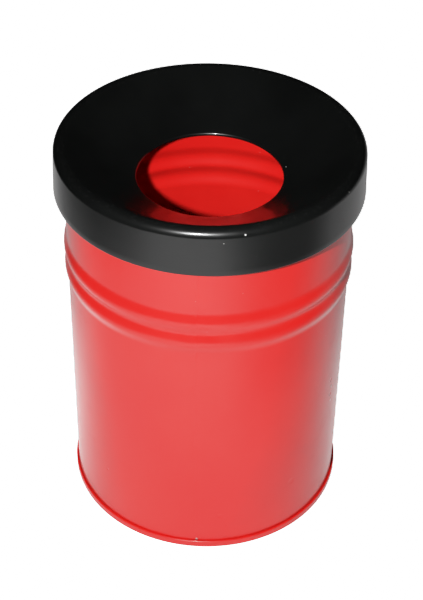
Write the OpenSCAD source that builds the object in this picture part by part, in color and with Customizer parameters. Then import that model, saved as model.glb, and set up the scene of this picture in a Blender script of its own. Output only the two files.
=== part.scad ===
// Self-extinguishing waste bin: a double-seamed sheet steel body with a wired rim and two rolled
// beads, and a lift-off head whose funnel turns smoke back onto burning waste.
// Millimetres. The origin is on the floor, on the bin's axis, and +Z is up.

/* [Overall] */
// Height from the floor to the crest of the head
total_h = 408; // [400:1:450]
// Thickness of the steel sheet of the body and the bottom
sheet_t = 0.7; // [0.6:0.05:0.9]

/* [Body] */
// Outside diameter of the body's plain wall
body_d = 278.5; // [270:0.5:280]
// Height of the upper rolled bead's crest
upper_bead_z = 297.5; // [292:0.5:310]
// Height of the lower rolled bead's crest
lower_bead_z = 274.5; // [200:0.5:276]
// How far a bead stands out of the wall
bead_h = 3.0; // [1:0.1:3.6]
// Length of wall that one bead takes up
bead_w = 27; // [20:0.5:30]
// Diameter of the wire in the curled rim
wire_d = 4; // [3:0.5:4]

/* [Side seam] */
// Direction of the welded side seam, in degrees from +X
seam_angle = 265.9; // [180:0.1:359]
// Width of the welded lap
seam_w = 4; // [2:0.5:8]
// How far the welded lap stands out of the wall
seam_proud = 0.2; // [0.1:0.05:0.4]

/* [Bottom] */
// Height of the double seam at the foot
chime_h = 8.0; // [7:0.1:8.5]
// Height of the bottom panel's rim above the floor
panel_z = 10; // [9.5:0.5:14]
// How much the middle of the panel is raised
panel_rise = 2.5; // [1:0.5:4]

/* [Head] */
// Diameter of the head at its rolled rim
head_d = 296; // [295:0.5:298]
// How much wider the skirt's foot is than the rim
skirt_flare = 3; // [0:0.5:6]
// Height of the head's skirt below the crest
skirt_h = 46.5; // [40:0.5:60]
// Thickness of the head's sheet
head_t = 1.2; // [1:0.1:1.3]
// Outer radius of the rolled rim
rim_r = 8; // [7.5:0.1:9]
// Diameter of the funnel's throat
throat_d = 141; // [120:1:160]
// Depth of the throat's edge below the crest
throat_depth = 40; // [36:1:46]
// Number of rubber buffers in the rim's channel
buffer_count = 4; // [3:1:8]
// Angle that one buffer takes up, in degrees
buffer_arc = 6; // [3:1:12]

/* [Hidden] */
$fn = 180;

body_red = [0.80, 0.05, 0.04];
head_black = [0.03, 0.03, 0.03];

// Wall, hooks and folds of the double seam, by the middle of each layer of sheet
fold_gap = 0.1;                             // play between two layers
layer = sheet_t + fold_gap;                 // from one layer's middle to the next
wall_r = body_d / 2 - sheet_t / 2;
fold_z = sheet_t + fold_gap + layer + sheet_t / 2; // centre of the wall's fold
top_bend_r = sheet_t / 2 + 0.15;            // bends of the pan's flattened upper fold
top_bend_z = chime_h - sheet_t / 2 - top_bend_r;
foot_r = 1.2;                               // bend at the foot of the chime
inner_foot_r = 1;                           // bend at the foot of the countersink
hook_tip_z = chime_h - 1.8;
cover_tip_z = fold_z + 0.2;

// Curl at the mouth, round its wire
wire_play = 0.1;
curl_r = wire_d / 2 + wire_play + sheet_t / 2;
curl_outer_r = curl_r + sheet_t / 2;
buffer_gap = 0.3;                           // between a buffer and the curl
buffer_t = 2;                               // thickness of a buffer over the curl
curl_centre = [wall_r + curl_r, total_h - head_t - buffer_t - buffer_gap - curl_outer_r];
curl_end = -110;                            // where the curl stops, in degrees

// Head: middles of the rim's roll and of the throat's lip
rim_mid_r = rim_r - head_t / 2;
rim_centre = [head_d / 2 - rim_r, total_h - rim_r];
lip_r = 2.5;
lip_mid_r = lip_r - head_t / 2;
lip_centre = [throat_d / 2 + lip_r, total_h - throat_depth];
lip_drop = 1;                               // straight edge below the lip's bend
skirt_foot = [head_d / 2 + skirt_flare / 2 - head_t / 2, total_h - skirt_h];
skirt_tilt = atan(skirt_flare / 2 / (skirt_h - rim_r));
hem_h = 5;                                  // sheet turned in at the skirt's foot
hem_r = head_t / 2 + 0.1;

// The funnel is the common tangent that crosses from the rim's roll to the lip's bend
centre_step = rim_centre - lip_centre;
funnel_slope = atan2(centre_step[1], centre_step[0])
             + asin((rim_mid_r - lip_mid_r) / norm(centre_step));

buffer_inner_r = curl_outer_r + buffer_gap;
buffer_outer_r = rim_r - head_t - 0.1;

// Points on an arc about c, from angle a to angle b
function arc(c, r, a, b, n = 12) =
    [for (i = [0:n]) c + r * [cos(a + (b - a) * i / n), sin(a + (b - a) * i / n)]];

// Unit normal, to the left of the way from p to q
function left_of(p, q) = [p[1] - q[1], q[0] - p[0]] / norm(q - p);

// Offset of a path's point i by d to the left, with its corners kept sharp
function beside(path, i, d) =
    let (n = len(path) - 1,
         a = left_of(path[max(i - 1, 0)], path[max(i, 1)]),
         b = left_of(path[min(i, n - 1)], path[min(i + 1, n)]))
    path[i] + (a + b) * d / (1 + a * b);

// Outline of a sheet of thickness t whose middle follows a path
function sheet(path, t) =
    concat([for (i = [0:len(path) - 1]) beside(path, i, t / 2)],
           [for (i = [len(path) - 1:-1:0]) beside(path, i, -t / 2)]);

// How far the beads push the wall out at height z
function bump(z, crest) = abs(z - crest) < bead_w / 2
    ? bead_h * pow(cos(180 * (z - crest) / bead_w), 2) : 0;
function bead(z) = bump(z, upper_bead_z) + bump(z, lower_bead_z);

bead_foot = lower_bead_z - bead_w / 2;
bead_head = upper_bead_z + bead_w / 2;
bead_steps = 34;
bead_heights = [for (i = [0:bead_steps]) bead_foot + (bead_head - bead_foot) * i / bead_steps];

// The plain wall with its beads, from height a to height b
function wall(a, b, r) = concat([[r, a]], [for (z = bead_heights) [r + bead(z), z]], [[r, b]]);

body_path = concat(
    [[wall_r + 2 * layer, hook_tip_z]],
    arc([wall_r + layer, fold_z], layer, 0, -180, 10),
    wall(chime_h + 4, curl_centre[1] - 8, wall_r),
    arc(curl_centre, curl_r, 180, curl_end, 24));

pan_wall_r = wall_r - layer;
pan_corner_r = 3;
panel_mid_r = 0.66 * pan_wall_r;            // edge of the raised middle
panel_ramp = 5;
pan_path = concat(
    [[0, panel_z + panel_rise], [panel_mid_r, panel_z + panel_rise]],
    [[panel_mid_r + panel_ramp, panel_z]],
    arc([pan_wall_r - pan_corner_r, panel_z - pan_corner_r], pan_corner_r, 90, 0, 6),
    arc([pan_wall_r + inner_foot_r, sheet_t / 2 + inner_foot_r], inner_foot_r, 180, 270, 4),
    arc([wall_r + 3 * layer - foot_r, sheet_t / 2 + foot_r], foot_r, 270, 360, 6),
    arc([wall_r + 3 * layer - top_bend_r, top_bend_z], top_bend_r, 0, 90, 4),
    arc([wall_r + layer + top_bend_r, top_bend_z], top_bend_r, 90, 180, 4),
    [[wall_r + layer, cover_tip_z]]);

head_path = concat(
    [skirt_foot + [-2 * hem_r, hem_h]],
    arc(skirt_foot + [-hem_r, hem_r], hem_r, 180, 360 - skirt_tilt, 8),
    arc(rim_centre, rim_mid_r, 0, 90 + funnel_slope, 16),
    arc(lip_centre, lip_mid_r, 90 + funnel_slope, 180, 8),
    [lip_centre - [lip_mid_r, lip_drop]]);

// Rolled and welded wall: hook at the foot, two beads, curl at the mouth
module body_shell() {
    color(body_red)
        rotate_extrude() polygon(sheet(body_path, sheet_t));
}

// Mash-welded lap of the wall, which follows the beads from the chime to the curl
module side_seam() {
    turn = seam_w / (body_d / 2) * 180 / PI;
    middle = wall(chime_h + 4, curl_centre[1] - 8, wall_r);
    rows = [0:len(middle) - 1];
    color(body_red)
        rotate([0, 0, seam_angle - turn / 2])
            rotate_extrude(angle = turn)
                polygon(concat([for (i = rows) beside(middle, i, -sheet_t / 2 - 0.01)],
                               [for (i = [len(middle) - 1:-1:0])
                                    beside(middle, i, -sheet_t / 2 - seam_proud)]));
}

// Steel wire that keeps the curled rim round
module rim_wire() {
    color("silver")
        rotate_extrude() translate(curl_centre) circle(d = wire_d, $fn = 48);
}

// Pressed bottom: raised panel, countersink and the cover half of the double seam
module bottom_pan() {
    color(body_red)
        rotate_extrude() polygon(sheet(pan_path, sheet_t));
}

// Sealing compound in the bottom of the wall's hook
module seam_compound() {
    color("dimgray")
        rotate_extrude() translate([wall_r + layer, fold_z - 0.15]) circle(r = 0.2, $fn = 24);
}

// Drawn head: hemmed skirt, rolled rim, funnel and turned-down throat
module head_shell() {
    color(head_black)
        rotate_extrude() polygon(sheet(head_path, head_t));
}

// Rubber buffers in the rim's channel, which keep painted metal off painted metal
module head_buffers() {
    color([0.12, 0.12, 0.12])
        for (i = [0:buffer_count - 1])
            rotate([0, 0, 45 + i * 360 / buffer_count - buffer_arc / 2])
                rotate_extrude(angle = buffer_arc)
                    polygon(concat(arc(rim_centre, buffer_outer_r, 30, 115, 10),
                                   arc(curl_centre, buffer_inner_r, 115, 30, 10)));
}

body_shell();
side_seam();
rim_wire();
bottom_pan();
seam_compound();
head_shell();
head_buffers();
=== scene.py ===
import math

import bmesh
import bpy
from mathutils import Matrix, Vector


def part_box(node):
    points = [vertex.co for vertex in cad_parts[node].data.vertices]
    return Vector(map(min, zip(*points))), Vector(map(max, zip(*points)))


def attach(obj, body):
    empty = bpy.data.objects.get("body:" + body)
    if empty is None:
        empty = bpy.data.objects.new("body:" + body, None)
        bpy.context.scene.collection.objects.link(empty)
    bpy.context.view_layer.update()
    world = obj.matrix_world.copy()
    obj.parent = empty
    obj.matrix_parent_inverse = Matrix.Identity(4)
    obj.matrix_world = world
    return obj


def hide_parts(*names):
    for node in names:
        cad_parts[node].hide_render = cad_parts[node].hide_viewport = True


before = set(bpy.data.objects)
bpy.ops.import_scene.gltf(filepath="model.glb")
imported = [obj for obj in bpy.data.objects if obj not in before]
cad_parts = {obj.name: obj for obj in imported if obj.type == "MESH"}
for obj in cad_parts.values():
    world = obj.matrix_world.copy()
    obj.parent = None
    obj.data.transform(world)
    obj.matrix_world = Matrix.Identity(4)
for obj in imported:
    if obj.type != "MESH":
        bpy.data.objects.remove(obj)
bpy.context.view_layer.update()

mm = 0.001

# the camera's values come from a numeric fit made outside this script
cameraPlace = {
    "stand": Vector((0.0, -1186.9, 1169.6)) * mm,
    "downTilt": 38.82,
    "leftTurn": -0.144,
    "roll": 0.93,
    "lens": 89.66,
    "sensor": 36.0,
    "nearest": 0.05,
}


def addCamera(place):
    data = bpy.data.cameras.new("camera")
    data.lens = place["lens"]
    data.sensor_width = place["sensor"]
    data.clip_start = place["nearest"]
    camera = bpy.data.objects.new("camera", data)
    aim = Matrix.Rotation(math.radians(90 - place["downTilt"]), 4, "X")
    aim = aim @ Matrix.Rotation(math.radians(place["leftTurn"]), 4, "Y")
    aim = aim @ Matrix.Rotation(math.radians(place["roll"]), 4, "Z")
    camera.matrix_world = Matrix.Translation(place["stand"]) @ aim
    bpy.context.scene.collection.objects.link(camera)
    bpy.context.scene.camera = camera


addCamera(cameraPlace)
print("camera placed")


def addNode(tree, kind, inputs=None, **settings):
    node = tree.nodes.new(kind)
    for name, value in settings.items():
        setattr(node, name, value)
    for key, value in (inputs or {}).items():
        socket = node.inputs[key]
        if isinstance(value, bpy.types.NodeSocket):
            tree.links.new(value, socket)
        else:
            socket.default_value = value
    return node


def mathNode(tree, operation, first, second=0.0, clamp=False):
    node = addNode(tree, "ShaderNodeMath", {0: first, 1: second}, operation=operation, use_clamp=clamp)
    return node.outputs[0]


def mixColours(tree, factor, first, second):
    node = addNode(tree, "ShaderNodeMix", data_type="RGBA", blend_type="MIX")
    for socket, value in zip((node.inputs[0], node.inputs[6], node.inputs[7]), (factor, first, second)):
        if isinstance(value, bpy.types.NodeSocket):
            tree.links.new(value, socket)
        else:
            socket.default_value = value
    return node.outputs[2]


def ramp(tree, value, low, high, toLow=0.0, toHigh=1.0, smooth=True):
    kind = "SMOOTHSTEP" if smooth else "LINEAR"
    node = addNode(tree, "ShaderNodeMapRange", {"Value": value, "From Min": low, "From Max": high,
                                                "To Min": toLow, "To Max": toHigh},
                   interpolation_type=kind)
    return node.outputs["Result"]


def noise(tree, vector, scale, detail=2.0, roughness=0.5, seed=0.0):
    node = addNode(tree, "ShaderNodeTexNoise", {"Vector": vector, "Scale": scale, "Detail": detail,
                                                "Roughness": roughness, "W": seed},
                   noise_dimensions="4D")
    return node.outputs[0]


def onWall(angle, radius, height):
    turn = math.radians(angle)
    return (radius * math.cos(turn) * mm, radius * math.sin(turn) * mm, height * mm)


redLook = {
    "colour": (0.62, 0.0098, 0.0080, 1.0),
    "faded": (0.67, 0.0150, 0.0115, 1.0),
    "gloss": 0.31,               # roughness where the enamel is clean
    "dull": 0.38,                # roughness where hands and dust have dulled it
    "innerGloss": 0.45,          # roughness inside, where the coat is thinner
    "innerShine": 0.12,          # strength of reflections inside, 0.5 being full
    "index": 1.53,
    "coat": 0.35,                # clear gloss over the colour
    "coatGloss": 0.07,
    "peelSize": 1.6 * mm,        # orange peel
    "peelDepth": 0.004 * mm,
    "waveSize": 30 * mm,         # slow unevenness of the sheet
    "waveDepth": 0.02 * mm,
    "rubbed": (0.56, 0.02, 0.015, 1.0),
    "rubbedHeights": (297.5, 274.5, 7.0),  # the two beads and the chime
    "dust": 0.35,
    "grain": (0.75, 0.60, 0.56, 1.0),      # pale colour painted on the marks that stand proud, as a painted highlight where the seam's foot and the dents catch the flash
    # another program worked out four of these places; the four near 335 degrees were set one by one
    "marks": (                   # place, size and height of dents, and of proud marks where it is above zero, which also get the pale colour as a painted highlight
        (onWall(276.6, 139.3, 43.5), 4.0 * mm, -0.25 * mm),
        (onWall(224.1, 139.3, 66.7), 2.0 * mm, -0.25 * mm),
        (onWall(309.5, 139.3, 64.3), 5.0 * mm, -0.2 * mm),
        # of these four dents near 335 degrees, the two that stand proud carry a painted highlight
        (onWall(334.5, 139.3, 162.0), 3.0 * mm, -0.9 * mm),
        (onWall(335.5, 139.3, 151.0), 2.6 * mm, 1.2 * mm),
        (onWall(334.9, 139.3, 142.0), 2.6 * mm, -1.2 * mm),
        (onWall(335.8, 139.3, 132.0), 2.4 * mm, 1.0 * mm),
        # the proud mark at the seam's foot: a small bump with a painted highlight on it
        (onWall(266.9, 139.6, 9.6), 2.0 * mm, 2.4 * mm),
    ),
    "seed": 3.0,
}

blackLook = {
    "colour": (0.0026, 0.0028, 0.0027, 1.0),
    "faded": (0.0042, 0.0046, 0.0044, 1.0),
    "gloss": 0.28,
    "dull": 0.35,
    "index": 1.42,
    "coat": 0.5,
    "coatGloss": 0.085,
    "peelSize": 1.3 * mm,
    "peelDepth": 0.003 * mm,
    "waveSize": 40 * mm,
    "waveDepth": 0.015 * mm,
    "rubbed": (0.012, 0.012, 0.012, 1.0),
    "rubbedHeights": (407.5, 362.3),       # the rim and the skirt's hem
    "dust": 0.8,
    "grain": (0.70, 0.70, 0.68, 1.0),
    # another program worked out these places
    "marks": (
        (onWall(282.5, 147.0, 403.1), 1.2 * mm, 0.25 * mm),
        (onWall(275.1, 148.2, 396.0), 0.5 * mm, 0.1 * mm),
        (onWall(142.1, 135.9, 402.8), 0.9 * mm, 0.2 * mm),
    ),
    "seed": 11.0,
}


wear = {
    "fadeScale": 9.0,
    "gritScale": 420.0,
    "rubReach": 2.2 * mm,        # how far rubbing spreads from a proud edge
    "rubAmount": 0.8,
    "speckScale": 95.0,
    "speckRadius": 0.05,
    "speckShare": 0.07,          # share of the places that hold a speck of dust
    "dustColour": (0.45, 0.44, 0.42, 1.0),
    "smearScale": 26.0,
    "fineScale": 160.0,
    "fineAmount": 0.15,
}


def makeEnamel(name, look):
    material = bpy.data.materials.new(name)
    material.use_nodes = True
    tree = material.node_tree
    tree.nodes.clear()
    place = addNode(tree, "ShaderNodeTexCoord").outputs["Object"]
    split = addNode(tree, "ShaderNodeSeparateXYZ", {0: place})
    seed = look["seed"]

    # colour: slow fading, faint rubbing where the sheet stands proud, a few specks of dust
    cloud = ramp(tree, noise(tree, place, wear["fadeScale"], 3.0, 0.55, seed), 0.35, 0.7)
    colour = mixColours(tree, cloud, look["colour"], look["faded"])
    grit = noise(tree, place, wear["gritScale"], 3.0, 0.7, seed + 1.0)
    rub = 0.0
    for height in look["rubbedHeights"]:
        away = mathNode(tree, "ABSOLUTE", mathNode(tree, "SUBTRACT", split.outputs["Z"], height * mm))
        rub = mathNode(tree, "ADD", rub, ramp(tree, away, 0.0, wear["rubReach"], 1.0, 0.0))
    worn = ramp(tree, grit, 0.56, 0.66, 0.0, wear["rubAmount"])
    rubbed = mathNode(tree, "MULTIPLY", rub, worn, clamp=True)
    colour = mixColours(tree, rubbed, colour, look["rubbed"])
    speck = addNode(tree, "ShaderNodeTexVoronoi",
                    {"Vector": place, "Scale": wear["speckScale"], "Randomness": 1.0},
                    feature="F1", distance="EUCLIDEAN")
    lot = addNode(tree, "ShaderNodeSeparateColor", {0: speck.outputs["Color"]}).outputs[0]
    chosen = ramp(tree, lot, 1 - wear["speckShare"], 1.01 - wear["speckShare"])
    spot = ramp(tree, speck.outputs["Distance"], 0.6 * wear["speckRadius"], wear["speckRadius"], 1.0, 0.0)
    dust = mathNode(tree, "MULTIPLY", mathNode(tree, "MULTIPLY", spot, chosen), look["dust"])
    colour = mixColours(tree, dust, colour, wear["dustColour"])

    # gloss: clean enamel with duller smears
    smear = noise(tree, place, wear["smearScale"], 4.0, 0.6, seed + 2.0)
    fine = noise(tree, place, wear["fineScale"], 2.0, 0.5, seed + 3.0)
    dullness = mathNode(tree, "ADD", ramp(tree, smear, 0.5, 0.75),
                        mathNode(tree, "MULTIPLY", fine, wear["fineAmount"]))
    dullness = mathNode(tree, "ADD", dullness, mathNode(tree, "ADD", rubbed, dust), clamp=True)
    roughness = ramp(tree, dullness, 0.0, 1.0, look["gloss"], look["dull"], smooth=False)
    fullShine = 0.5
    shine = fullShine
    if "innerGloss" in look:
        # the inner face looks towards the axis
        outward = addNode(tree, "ShaderNodeVectorMath", {0: place, 1: (1, 1, 0)}, operation="MULTIPLY")
        facing = addNode(tree, "ShaderNodeNewGeometry").outputs["Normal"]
        lean = addNode(tree, "ShaderNodeVectorMath", {0: outward.outputs[0], 1: facing},
                       operation="DOT_PRODUCT").outputs["Value"]
        inner = ramp(tree, lean, -0.02, 0.02, 1.0, 0.0)
        extra = mathNode(tree, "MULTIPLY", inner, look["innerGloss"] - look["gloss"])
        roughness = mathNode(tree, "ADD", roughness, extra)
        shine = ramp(tree, inner, 0.0, 1.0, fullShine, look["innerShine"], smooth=False)

    # relief: orange peel on slow waves of the sheet, and a few small marks
    peel = noise(tree, place, 1 / look["peelSize"], 1.5, 0.4, seed + 4.0)
    wave = noise(tree, place, 1 / look["waveSize"], 1.0, 0.4, seed + 5.0)
    blows = 0.0
    for centre, size, depth in look["marks"]:
        away = addNode(tree, "ShaderNodeVectorMath", {0: place, 1: centre},
                       operation="DISTANCE").outputs["Value"]
        blow = ramp(tree, away, 0.2 * size, size, 1.0, 0.0)
        blows = mathNode(tree, "ADD", blows, mathNode(tree, "MULTIPLY", blow, depth / mm))
        # a mark that stands proud is painted in the look's pale colour; on the red enamel this is a painted
        # highlight
        if depth > 0:
            colour = mixColours(tree, blow, colour, look["grain"])
    waves = addNode(tree, "ShaderNodeBump", {"Strength": 1.0, "Distance": look["waveDepth"],
                                             "Height": wave})
    marks = addNode(tree, "ShaderNodeBump", {"Strength": 1.0, "Distance": mm, "Height": blows,
                                             "Normal": waves.outputs[0]})
    peels = addNode(tree, "ShaderNodeBump", {"Strength": 1.0, "Distance": look["peelDepth"],
                                             "Height": peel, "Normal": marks.outputs[0]})
    shader = addNode(tree, "ShaderNodeBsdfPrincipled",
                     {"Base Color": colour, "Roughness": roughness, "IOR": look["index"],
                      "Normal": peels.outputs[0], "Specular IOR Level": shine, "Coat Weight": look["coat"],
                      "Coat Roughness": look["coatGloss"]})
    addNode(tree, "ShaderNodeOutputMaterial", {"Surface": shader.outputs[0]})
    return material


redEnamel = makeEnamel("redEnamel", redLook)
blackEnamel = makeEnamel("blackEnamel", blackLook)


rubberLook = {
    "grainScale": 700.0,
    "dark": (0.018, 0.018, 0.018, 1.0),
    "pale": (0.040, 0.038, 0.036, 1.0),
    "roughness": 0.85,
    "relief": 0.05 * mm,
}


def makeRubber():
    material = bpy.data.materials.new("bufferRubber")
    material.use_nodes = True
    tree = material.node_tree
    tree.nodes.clear()
    place = addNode(tree, "ShaderNodeTexCoord").outputs["Object"]
    grain = noise(tree, place, rubberLook["grainScale"], 3.0, 0.6, 5.0)
    colour = mixColours(tree, grain, rubberLook["dark"], rubberLook["pale"])
    relief = addNode(tree, "ShaderNodeBump", {"Strength": 0.6, "Distance": rubberLook["relief"],
                                              "Height": grain})
    shader = addNode(tree, "ShaderNodeBsdfPrincipled",
                     {"Base Color": colour, "Roughness": rubberLook["roughness"],
                      "Normal": relief.outputs[0]})
    addNode(tree, "ShaderNodeOutputMaterial", {"Surface": shader.outputs[0]})
    return material


wireLook = {
    "scratchScale": 600.0,
    "dark": (0.42, 0.41, 0.40, 1.0),
    "pale": (0.62, 0.61, 0.60, 1.0),
    "gloss": 0.3,
    "dull": 0.5,
    "relief": 0.02 * mm,
}


def makeWire():
    material = bpy.data.materials.new("drawnWire")
    material.use_nodes = True
    tree = material.node_tree
    tree.nodes.clear()
    place = addNode(tree, "ShaderNodeTexCoord").outputs["Object"]
    scratch = noise(tree, place, wireLook["scratchScale"], 4.0, 0.7, 6.0)
    colour = mixColours(tree, scratch, wireLook["dark"], wireLook["pale"])
    roughness = ramp(tree, scratch, 0.3, 0.7, wireLook["gloss"], wireLook["dull"])
    relief = addNode(tree, "ShaderNodeBump", {"Strength": 0.5, "Distance": wireLook["relief"],
                                              "Height": scratch})
    shader = addNode(tree, "ShaderNodeBsdfPrincipled",
                     {"Base Color": colour, "Metallic": 1.0, "Roughness": roughness,
                      "Normal": relief.outputs[0]})
    addNode(tree, "ShaderNodeOutputMaterial", {"Surface": shader.outputs[0]})
    return material


rubber = makeRubber()
wireSteel = makeWire()
print("finishes mixed")


def arcPoints(centre, radius, start, end, steps):
    points = []
    for i in range(steps + 1):
        angle = math.radians(start + (end - start) * i / steps)
        points.append((centre[0] + radius * math.cos(angle), centre[1] + radius * math.sin(angle)))
    return points


def rise(radius, low, high, step):
    count = max(1, round((high - low) / step))
    return [(radius, low + (high - low) * i / count) for i in range(count + 1)]


def sheetOutline(path, thickness):
    path = [Vector(p) for p in path]
    left, right = [], []
    for i, point in enumerate(path):
        before = point - path[i - 1] if i else path[1] - point
        after = path[i + 1] - point if i + 1 < len(path) else point - path[i - 1]
        normals = [Vector((-d.y, d.x)).normalized() for d in (before, after)]
        side = (normals[0] + normals[1]) * thickness / 2 / (1 + normals[0].dot(normals[1]))
        left.append(point + side)
        right.append(point - side)
    return left + right[::-1]


def sectionMesh(name, points):
    mesh = bpy.data.meshes.new(name)
    mesh.from_pydata([(p[0] * mm, 0.0, p[1] * mm) for p in points], [], [])
    piece = bpy.data.objects.new(name, mesh)
    bpy.context.scene.collection.objects.link(piece)
    return piece


latheInputs = (
    ("Steps Around", "NodeSocketInt", 240),
    ("First Angle", "NodeSocketFloat", 0.0),
    ("Swept Angle", "NodeSocketFloat", math.tau),
    ("Closed Section", "NodeSocketBool", True),
    ("Upper Bead", "NodeSocketFloat", 0.0),
    ("Lower Bead", "NodeSocketFloat", 0.0),
    ("Bead Height", "NodeSocketFloat", 0.0),
    ("Bead Width", "NodeSocketFloat", 0.02),
    ("Seam Angle", "NodeSocketFloat", 0.0),
    ("Seam Step", "NodeSocketFloat", 0.0),
    ("Kink Offset", "NodeSocketFloat", 0.0),
    ("Kink Height", "NodeSocketFloat", 0.0),
    ("Lap Height", "NodeSocketFloat", 0.0),
    ("Dent Depth", "NodeSocketFloat", 0.0),
    ("Dent Size", "NodeSocketFloat", 0.06),
    ("Dented From", "NodeSocketFloat", 0.0),
    ("Dented To", "NodeSocketFloat", 1.0),
    ("Seed", "NodeSocketFloat", 1.0),
    ("Finish", "NodeSocketMaterial", None),
)


latheRules = {
    "mergeGap": 0.002 * mm,
    "stepFade": 9.0,             # how fast the seam's step dies away around the wall, per radian
    "kinkFade": 25.0,
    "dentEdge": 0.04,            # height over which the dents begin and end
    "dentRadius": 0.139,         # the dents are one pattern, read at this radius
    "lapSink": 0.3,              # share of the lap's crown by which its edges sink in
}


def makeLathe():
    tree = bpy.data.node_groups.new("lathe", "GeometryNodeTree")
    tree.interface.new_socket("Geometry", in_out="INPUT", socket_type="NodeSocketGeometry")
    for name, kind, value in latheInputs:
        socket = tree.interface.new_socket(name, in_out="INPUT", socket_type=kind)
        if value is not None:
            socket.default_value = value
    tree.interface.new_socket("Geometry", in_out="OUTPUT", socket_type="NodeSocketGeometry")
    given = tree.nodes.new("NodeGroupInput").outputs
    calc = lambda operation, first, second=0.0: mathNode(tree, operation, first, second)

    section = given["Geometry"]
    count = addNode(tree, "GeometryNodeAttributeDomainSize", {0: section}).outputs["Point Count"]
    rows = calc("ADD", count, given["Closed Section"])
    columns = calc("ADD", given["Steps Around"], 1.0)
    grid = addNode(tree, "GeometryNodeMeshGrid", {"Size X": 1.0, "Size Y": 1.0, "Vertices X": columns,
                                                  "Vertices Y": rows}).outputs["Mesh"]
    spot = addNode(tree, "ShaderNodeSeparateXYZ", {0: addNode(tree, "GeometryNodeInputPosition").outputs[0]})
    across = calc("ADD", spot.outputs["X"], 0.5)
    along = calc("MULTIPLY", calc("ADD", spot.outputs["Y"], 0.5), calc("SUBTRACT", rows, 1.0))
    index = calc("MODULO", calc("ROUND", along), count)
    sample = addNode(tree, "GeometryNodeSampleIndex", data_type="FLOAT_VECTOR", domain="POINT")
    tree.links.new(section, sample.inputs["Geometry"])
    tree.links.new(addNode(tree, "GeometryNodeInputPosition").outputs[0], sample.inputs["Value"])
    tree.links.new(index, sample.inputs["Index"])
    point = addNode(tree, "ShaderNodeSeparateXYZ", {0: sample.outputs["Value"]})
    radius, height = point.outputs["X"], point.outputs["Z"]
    angle = calc("ADD", given["First Angle"], calc("MULTIPLY", across, given["Swept Angle"]))

    # at the side seam the two edges of the sheet meet a little out of step
    turn = addNode(tree, "ShaderNodeMath", {0: calc("SUBTRACT", angle, given["Seam Angle"]), 1: math.pi,
                                            2: -math.pi}, operation="WRAP").outputs[0]
    fade = calc("EXPONENT", calc("MULTIPLY", calc("ABSOLUTE", turn), -latheRules["stepFade"]))
    step = calc("MULTIPLY", calc("MULTIPLY", calc("SIGN", turn), fade), given["Seam Step"])
    level = calc("SUBTRACT", height, step)

    # each bead is one cosine-squared wave
    bulge = 0.0
    for name in ("Upper Bead", "Lower Bead"):
        away = calc("DIVIDE", calc("SUBTRACT", level, given[name]), given["Bead Width"])
        near = calc("MINIMUM", calc("ABSOLUTE", away), 0.5)
        wave = calc("POWER", calc("COSINE", calc("MULTIPLY", near, math.pi)), 2.0)
        bulge = calc("ADD", bulge, wave)
    bulge = calc("MULTIPLY", bulge, given["Bead Height"])

    # shallow dents of the rolled wall, the same on both faces
    cosine, sine = calc("COSINE", angle), calc("SINE", angle)
    dentRadius, dentEdge = latheRules["dentRadius"], latheRules["dentEdge"]
    skin = addNode(tree, "ShaderNodeCombineXYZ", {0: calc("MULTIPLY", cosine, dentRadius),
                                                  1: calc("MULTIPLY", sine, dentRadius),
                                                  2: height}).outputs[0]
    bumps = calc("SUBTRACT", noise(tree, skin, calc("DIVIDE", 1.0, given["Dent Size"]), 1.0, 0.4,
                                   given["Seed"]), 0.5)
    low = ramp(tree, height, given["Dented From"], calc("ADD", given["Dented From"], dentEdge))
    high = ramp(tree, height, calc("SUBTRACT", given["Dented To"], dentEdge), given["Dented To"], 1.0, 0.0)
    dents = calc("MULTIPLY", calc("MULTIPLY", bumps, given["Dent Depth"]), calc("MULTIPLY", low, high))

    # beside the weld the wall peaks a little along one line
    off = calc("ABSOLUTE", calc("SUBTRACT", turn, given["Kink Offset"]))
    peak = calc("EXPONENT", calc("MULTIPLY", off, -latheRules["kinkFade"]))
    kink = calc("MULTIPLY", calc("MULTIPLY", peak, given["Kink Height"]), calc("MULTIPLY", low, high))

    # the welded lap swells across its width and sinks into the wall at both edges
    swell = calc("POWER", calc("SINE", calc("MULTIPLY", across, math.pi)), 2.0)
    lap = calc("MULTIPLY", calc("SUBTRACT", swell, latheRules["lapSink"]), given["Lap Height"])

    reach = calc("ADD", calc("ADD", radius, bulge), calc("ADD", calc("ADD", dents, kink), lap))
    target = addNode(tree, "ShaderNodeCombineXYZ", {0: calc("MULTIPLY", cosine, reach),
                                                    1: calc("MULTIPLY", sine, reach), 2: height}).outputs[0]
    turned = addNode(tree, "GeometryNodeSetPosition", {"Geometry": grid, "Position": target}).outputs[0]
    joined = addNode(tree, "GeometryNodeMergeByDistance",
                     {"Geometry": turned, "Distance": latheRules["mergeGap"]}).outputs[0]
    smooth = addNode(tree, "GeometryNodeSetShadeSmooth", {"Geometry": joined}).outputs[0]
    real = addNode(tree, "GeometryNodeRealizeInstances", {"Geometry": smooth}).outputs[0]
    finished = addNode(tree, "GeometryNodeSetMaterial",
                       {"Geometry": real, "Material": given["Finish"]}).outputs[0]
    addNode(tree, "NodeGroupOutput", {"Geometry": finished})
    return tree


lathe = makeLathe()


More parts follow.
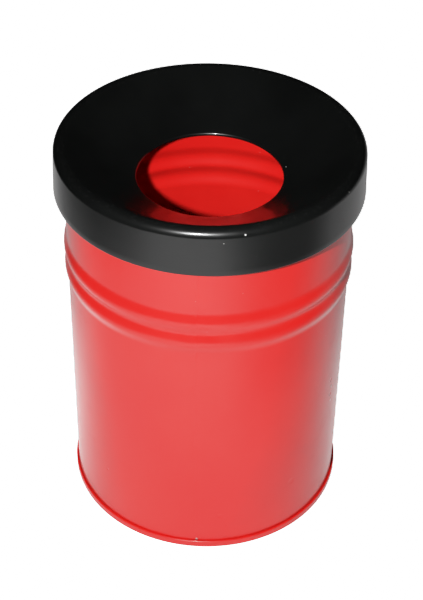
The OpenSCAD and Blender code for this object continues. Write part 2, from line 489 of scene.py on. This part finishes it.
def turnPiece(name, points, finish, crease=35.0, thicken=0.0, **values):
    source = sectionMesh(name + "Section", points)
    modifier = source.modifiers.new("lathe", "NODES")
    modifier.node_group = lathe
    wanted = {"Finish": finish}
    wanted.update({key.replace("_", " "): value for key, value in values.items()})
    for item in lathe.interface.items_tree:
        if item.in_out == "INPUT" and item.name in wanted:
            modifier[item.identifier] = wanted[item.name]
    graph = bpy.context.evaluated_depsgraph_get()
    mesh = bpy.data.meshes.new_from_object(source.evaluated_get(graph))
    mesh.name = name
    bpy.data.objects.remove(source)
    if thicken:
        mesh = thickened(mesh, thicken)
    shape = bmesh.new()
    shape.from_mesh(mesh)
    if shape.calc_volume(signed=True) < 0:
        bmesh.ops.reverse_faces(shape, faces=shape.faces)
    for edge in shape.edges:
        edge.smooth = edge.is_manifold and edge.calc_face_angle(0.0) < math.radians(crease)
    shape.to_mesh(mesh)
    shape.free()
    piece = bpy.data.objects.new(name, mesh)
    bpy.context.scene.collection.objects.link(piece)
    return piece


def thickened(mesh, depth):
    shape = bmesh.new()
    shape.from_mesh(mesh)
    bmesh.ops.solidify(shape, geom=shape.faces[:], thickness=depth)
    shape.to_mesh(mesh)
    shape.free()
    return mesh


print("lathe ready")

body = {
    "radius": 138.9,             # middle of the sheet
    "sheet": 0.7,
    "play": 0.1,
    "upperBead": 297.5,
    "lowerBead": 274.5,
    "beadHeight": 3.0,
    "beadWidth": 27.0,
    "wire": 4.0,
    "seamAngle": math.radians(265.9),
    "seamStep": 0.5,
    "kinkOffset": 4.4,           # in degrees from the seam
    "kinkHeight": 0.42,
    "dentDepth": 0.5,
    "dentSize": 70.0,
    "dentedFrom": 15.0,
    "dentedTo": 385.0,
    "dentSeed": 7.0,
    "fineFrom": 251,             # heights between which the section is finely stepped, for the beads
    "fineTo": 321,
    "fineStep": 1.0,
    "coarseStep": 8.0,
    "chimeHeight": 8.0,          # the double seam at the foot
    "hookDrop": 1.8,             # from the chime's top to the tip of the hook inside it
}
layer = body["sheet"] + body["play"]           # from one sheet's middle to the next in the chime
foldHeight = 2 * layer + body["sheet"] / 2     # where the hook's lower bend begins
wireLow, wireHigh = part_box("rim_wire")
curlCentre = (wireHigh.x / mm - body["wire"] / 2, (wireLow.z + wireHigh.z) / 2 / mm)
curlRadius = curlCentre[0] - body["radius"]
chimeHeight = body["chimeHeight"]

# the sheet's middle line: up from the hook in the chime, in fine steps past the beads, then round the wire
bodyPath = [(body["radius"] + 2 * layer, chimeHeight - body["hookDrop"])]
bodyPath += arcPoints((body["radius"] + layer, foldHeight), layer, 0, -180, 10)
bodyPath += rise(body["radius"], chimeHeight + 4, body["fineFrom"] - 1, body["coarseStep"])
bodyPath += rise(body["radius"], body["fineFrom"], body["fineTo"], body["fineStep"])
bodyPath += rise(body["radius"], body["fineTo"] + 6, curlCentre[1] - 4, body["coarseStep"])
bodyPath += arcPoints(curlCentre, curlRadius, 180, -110, 24)

beadValues = {
    "Upper_Bead": body["upperBead"] * mm,
    "Lower_Bead": body["lowerBead"] * mm,
    "Bead_Height": body["beadHeight"] * mm,
    "Bead_Width": body["beadWidth"] * mm,
    "Seam_Angle": body["seamAngle"],
    "Seam_Step": body["seamStep"] * mm,
    "Kink_Offset": math.radians(body["kinkOffset"]),
    "Kink_Height": body["kinkHeight"] * mm,
    "Dent_Depth": body["dentDepth"] * mm,
    "Dent_Size": body["dentSize"] * mm,
    "Dented_From": body["dentedFrom"] * mm,
    "Dented_To": body["dentedTo"] * mm,
    "Seed": body["dentSeed"],
}
shell = turnPiece("bodyShell", sheetOutline(bodyPath, body["sheet"]), redEnamel, **beadValues)
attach(shell, "bin")
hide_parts("body_shell")

weld = {
    "width": 4.4,
    "thickness": 0.3,
    "crown": 0.2,
    "stepsAround": 12,
    "start": 4.0,                # above the chime
    "end": 8.0,                  # below the middle of the curl
    "step": 3.0,
}
outer = body["radius"] + body["sheet"] / 2
lapSweep = weld["width"] / outer
lapPath = rise(outer, chimeHeight + weld["start"], body["fineFrom"] - 1, weld["step"])
lapPath += rise(outer, body["fineFrom"], body["fineTo"], body["fineStep"])
lapPath += rise(outer, body["fineTo"] + 3, curlCentre[1] - weld["end"], weld["step"])
lap = turnPiece("sideSeam", lapPath, redEnamel, thicken=weld["thickness"] * mm, Closed_Section=False,
                Steps_Around=weld["stepsAround"], First_Angle=body["seamAngle"] - lapSweep / 2,
                Swept_Angle=lapSweep, Lap_Height=weld["crown"] * mm, **beadValues)
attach(lap, "bin")
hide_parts("side_seam")
print("body rolled and welded")

pan = {
    "panel": 10.0,               # height of the panel's edge
    "raised": 2.5,               # how much its middle stands up
    "raisedRadius": 0.66,        # as a share of the pan's wall
    "stepBend": 2.0,             # bend radius at the edge of the raised middle
    "corner": 3.0,
    "innerFoot": 1.0,
    "outerFoot": 1.2,
    "topBend": 0.15,             # inner radius of the bends over the body's hook
    "hemLift": 0.2,              # from the fold's height to the sheet's edge
}
panWall = body["radius"] - layer
stepRadius = panWall * pan["raisedRadius"]
panTop = pan["panel"] + pan["raised"]
half = body["sheet"] / 2
panPath = [(stepRadius * i / 12, panTop) for i in range(12)]
panPath += arcPoints((stepRadius - 1.0, panTop - pan["stepBend"]), pan["stepBend"], 90, 63.4, 4)
panPath += arcPoints((stepRadius + 6.0, pan["panel"] + pan["stepBend"]), pan["stepBend"], 243.4, 270, 4)
panPath += arcPoints((panWall - pan["corner"], pan["panel"] - pan["corner"]), pan["corner"], 90, 0, 8)
panPath += arcPoints((panWall + pan["innerFoot"], half + pan["innerFoot"]), pan["innerFoot"], 180, 270, 5)
chimeOuter, chimeInner = body["radius"] + 3 * layer, body["radius"] + layer
panPath += arcPoints((chimeOuter - pan["outerFoot"], half + pan["outerFoot"]), pan["outerFoot"], 270, 360, 8)
topBend = half + pan["topBend"]
topBendHeight = chimeHeight - half - topBend
panPath += arcPoints((chimeOuter - topBend, topBendHeight), topBend, 0, 90, 6)
panPath += arcPoints((chimeInner + topBend, topBendHeight), topBend, 90, 180, 6)
panPath += [(chimeInner, foldHeight + pan["hemLift"])]
bottom = turnPiece("bottomPan", sheetOutline(panPath, body["sheet"]), redEnamel)
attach(bottom, "bin")
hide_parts("bottom_pan")
print("bottom seamed on")

head = {
    "crest": 408.0,
    "radius": 148.0,
    "rim": 8.0,
    "sheet": 1.2,
    "throat": 70.5,
    "throatDepth": 40.0,
    "lip": 2.5,
    "skirtFoot": (149.5, 361.5),
    "hem": 0.7,
    "hemRise": 5.0,
    "lipEnd": 1.0,               # straight end below the lip's curve
}
rimMiddle = head["rim"] - head["sheet"] / 2
lipMiddle = head["lip"] - head["sheet"] / 2
rimCentre = Vector((head["radius"] - head["rim"], head["crest"] - head["rim"]))
lipCentre = Vector((head["throat"] + head["lip"], head["crest"] - head["throatDepth"]))
apart = rimCentre - lipCentre
funnelSlope = math.degrees(math.atan2(apart.y, apart.x)
                           + math.asin((rimMiddle - lipMiddle) / apart.length))
foot = Vector((head["skirtFoot"][0] - head["sheet"] / 2, head["skirtFoot"][1]))
tilt = math.degrees(math.atan((head["skirtFoot"][0] - head["radius"]) / (rimCentre.y - foot.y)))

headPath = [foot + Vector((-2 * head["hem"], head["hemRise"]))]
headPath += arcPoints(foot + Vector((-head["hem"], head["hem"])), head["hem"], 180, 360 - tilt, 10)
headPath += [foot.lerp(rimCentre + Vector((rimMiddle, 0)), i / 6) for i in range(1, 6)]
headPath += arcPoints(rimCentre, rimMiddle, 0, 90 + funnelSlope, 28)
slopeStart = Vector(headPath[-1])
lipArc = arcPoints(lipCentre, lipMiddle, 90 + funnelSlope, 180, 10)
headPath += [slopeStart.lerp(Vector(lipArc[0]), i / 12) for i in range(1, 12)]
headPath += lipArc
headPath += [lipCentre - Vector((lipMiddle, head["lipEnd"]))]
cap = turnPiece("headShell", sheetOutline(headPath, head["sheet"]), blackEnamel)
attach(cap, "head")
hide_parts("head_shell")

for node, finish in (("head_buffers", rubber), ("seam_compound", rubber), ("rim_wire", wireSteel)):
    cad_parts[node].data.materials.clear()
    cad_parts[node].data.materials.append(finish)
print("head drawn and set on the rim")

# the flash's place comes from a numeric fit made outside this script
studio = {
    "flash": Vector((-0.111, -0.794, 0.894)),
    "flashPower": 63.0,
    "flashRadius": 0.014,
    "floorColour": (0.85, 0.85, 0.85, 1),
    "paintedDarkShare": 0.18,          # how much of the paper the glossy pieces do not show: it is painted dark for reflections only
    "seenGlow": 1.6,             # keeps the paper white in view
    "backGlow": 0.9,             # what the paper behind the bin adds to reflections: a painted glow, seen by glossy rays only
    "room": 0.003,               # faint light from the dark room
    "middle": (0, 0, 0.2),
}

# weak low lights that give no highlights: the last one comes from behind and lights mostly the back
fills = {
    "fillBack": {"place": (1.2, 1.6, 0.4), "energy": 0.15, "angle": 0.1},
    "fillLeft": {"place": (-1.8, 0.6, 0.4), "energy": 0.15, "angle": 0.1},
    "fillRear": {"place": (0.3, 2.0, 0.8), "energy": 0.9, "angle": 0.6},
}

# where reflections see the paper, in metres from the bin's axis: each goes from none at its first value to
# full at its second, unless two more values give the amounts
paper = {
    "half": 4.0,
    "drop": 0.0002,
    "front": (0.1, -0.3),
    "right": (-0.1, 0.5),
    "rightLoss": 0.85,
    "left": (-0.25, -0.9),
    "farFront": (-0.8, -1.05),
    "behind": (-0.15, 0.1),
    "behindFade": (0.2, 0.5, 1.0, 0.25),
    "behindSides": (-0.15, 0.15, 1.15, 0.65),
    "darkColour": (0.01, 0.01, 0.01, 1),
}


def makeFloor():
    mesh = bpy.data.meshes.new("floor")
    half = paper["half"]
    mesh.from_pydata([(-half, -half, 0), (half, -half, 0), (half, half, 0), (-half, half, 0)], [],
                     [(0, 1, 2, 3)])
    floor = bpy.data.objects.new("floor", mesh)
    bpy.context.scene.collection.objects.link(floor)
    floor.location.z = -paper["drop"]
    material = bpy.data.materials.new("floorPaper")
    material.use_nodes = True
    tree = material.node_tree
    tree.nodes.clear()
    place = addNode(tree, "ShaderNodeTexCoord").outputs["Object"]
    split = addNode(tree, "ShaderNodeSeparateXYZ", {0: place})
    x, y = split.outputs["X"], split.outputs["Y"]
    away = mathNode(tree, "SQRT", mathNode(tree, "ADD", mathNode(tree, "MULTIPLY", x, x),
                                           mathNode(tree, "MULTIPLY", y, y)))
    rays = addNode(tree, "ShaderNodeLightPath").outputs
    # painted reflection: glossy rays see the paper glowing brightest near the bin behind it, and painted
    # dark in front and at both sides, where the dark room would be
    right = mathNode(tree, "MULTIPLY", ramp(tree, x, *paper["right"]), ramp(tree, y, *paper["front"]))
    right = mathNode(tree, "MULTIPLY", right, paper["rightLoss"])
    left = ramp(tree, x, *paper["left"])
    paintedDark = mathNode(tree, "MAXIMUM", mathNode(tree, "MAXIMUM", right, left),
                    ramp(tree, y, *paper["farFront"]))
    paintedDark = mathNode(tree, "MAXIMUM", paintedDark, studio["paintedDarkShare"])
    paintedDark = mathNode(tree, "MULTIPLY", paintedDark, rays["Is Glossy Ray"])
    behind = mathNode(tree, "MULTIPLY", ramp(tree, y, *paper["behind"]),
                      ramp(tree, away, *paper["behindFade"]))
    behind = mathNode(tree, "MULTIPLY", behind, ramp(tree, x, *paper["behindSides"]))
    behind = mathNode(tree, "MULTIPLY", behind, rays["Is Glossy Ray"])
    shine = mathNode(tree, "ADD", mathNode(tree, "MULTIPLY", rays["Is Camera Ray"], studio["seenGlow"]),
                     mathNode(tree, "MULTIPLY", behind, studio["backGlow"]))
    pale = addNode(tree, "ShaderNodeBsdfDiffuse", {"Color": studio["floorColour"]}).outputs[0]
    glow = addNode(tree, "ShaderNodeEmission", {"Color": (1, 1, 1, 1), "Strength": shine}).outputs[0]
    lit = addNode(tree, "ShaderNodeAddShader", {0: pale, 1: glow}).outputs[0]
    # this dark colour is painted on the paper for reflections only
    dark = addNode(tree, "ShaderNodeBsdfDiffuse", {"Color": paper["darkColour"]}).outputs[0]
    both = addNode(tree, "ShaderNodeMixShader", {0: paintedDark, 1: lit, 2: dark})
    addNode(tree, "ShaderNodeOutputMaterial", {"Surface": both.outputs[0]})
    mesh.materials.append(material)


def addLight(name, kind, place, towards, energy, size, glossy=True):
    data = bpy.data.lights.new(name, kind)
    data.energy = energy
    if kind == "POINT":
        data.shadow_soft_size = size
    if kind == "SUN":
        data.angle = size
    light = bpy.data.objects.new(name, data)
    light.location = place
    light.rotation_euler = (Vector(towards) - Vector(place)).to_track_quat("-Z", "Y").to_euler()
    light.visible_glossy = glossy
    bpy.context.scene.collection.objects.link(light)


makeFloor()
addLight("flash", "POINT", studio["flash"], studio["middle"], studio["flashPower"], studio["flashRadius"])
for name, fill in fills.items():
    addLight(name, "SUN", fill["place"], studio["middle"], fill["energy"], fill["angle"], glossy=False)

# the room is dark, and only the camera sees a white backdrop
world = bpy.data.worlds.new("darkRoom")
world.use_nodes = True
worldTree = world.node_tree
worldTree.nodes["Background"].inputs["Color"].default_value = (1, 1, 1, 1)
seen = addNode(worldTree, "ShaderNodeLightPath").outputs["Is Camera Ray"]
glow = mathNode(worldTree, "ADD", mathNode(worldTree, "MULTIPLY", seen, studio["seenGlow"]), studio["room"])
worldTree.links.new(glow, worldTree.nodes["Background"].inputs["Strength"])
bpy.context.scene.world = world

# the film holds bright enamel just under white, and only the far brighter paper and glints pass it
shoulder = ((0.0, 0.0), (0.35, 0.35), (0.70, 0.70), (0.84, 0.79), (1.15, 0.82), (1.35, 0.86),
            (1.6, 1.0), (2.4, 1.0))
view = bpy.context.scene.view_settings
view.view_transform = "Standard"
view.use_curve_mapping = True
tone = view.curve_mapping
tone.clip_max_x = shoulder[-1][0]
curve = tone.curves[3]  # the one for all three colours
for i, (light, shown) in enumerate(shoulder):
    if i < 2:  # a new curve already has two points
        curve.points[i].location = (light, shown)
    else:
        curve.points.new(light, shown)
for point in curve.points:
    point.handle_type = "VECTOR"
tone.update()
print("studio lit")
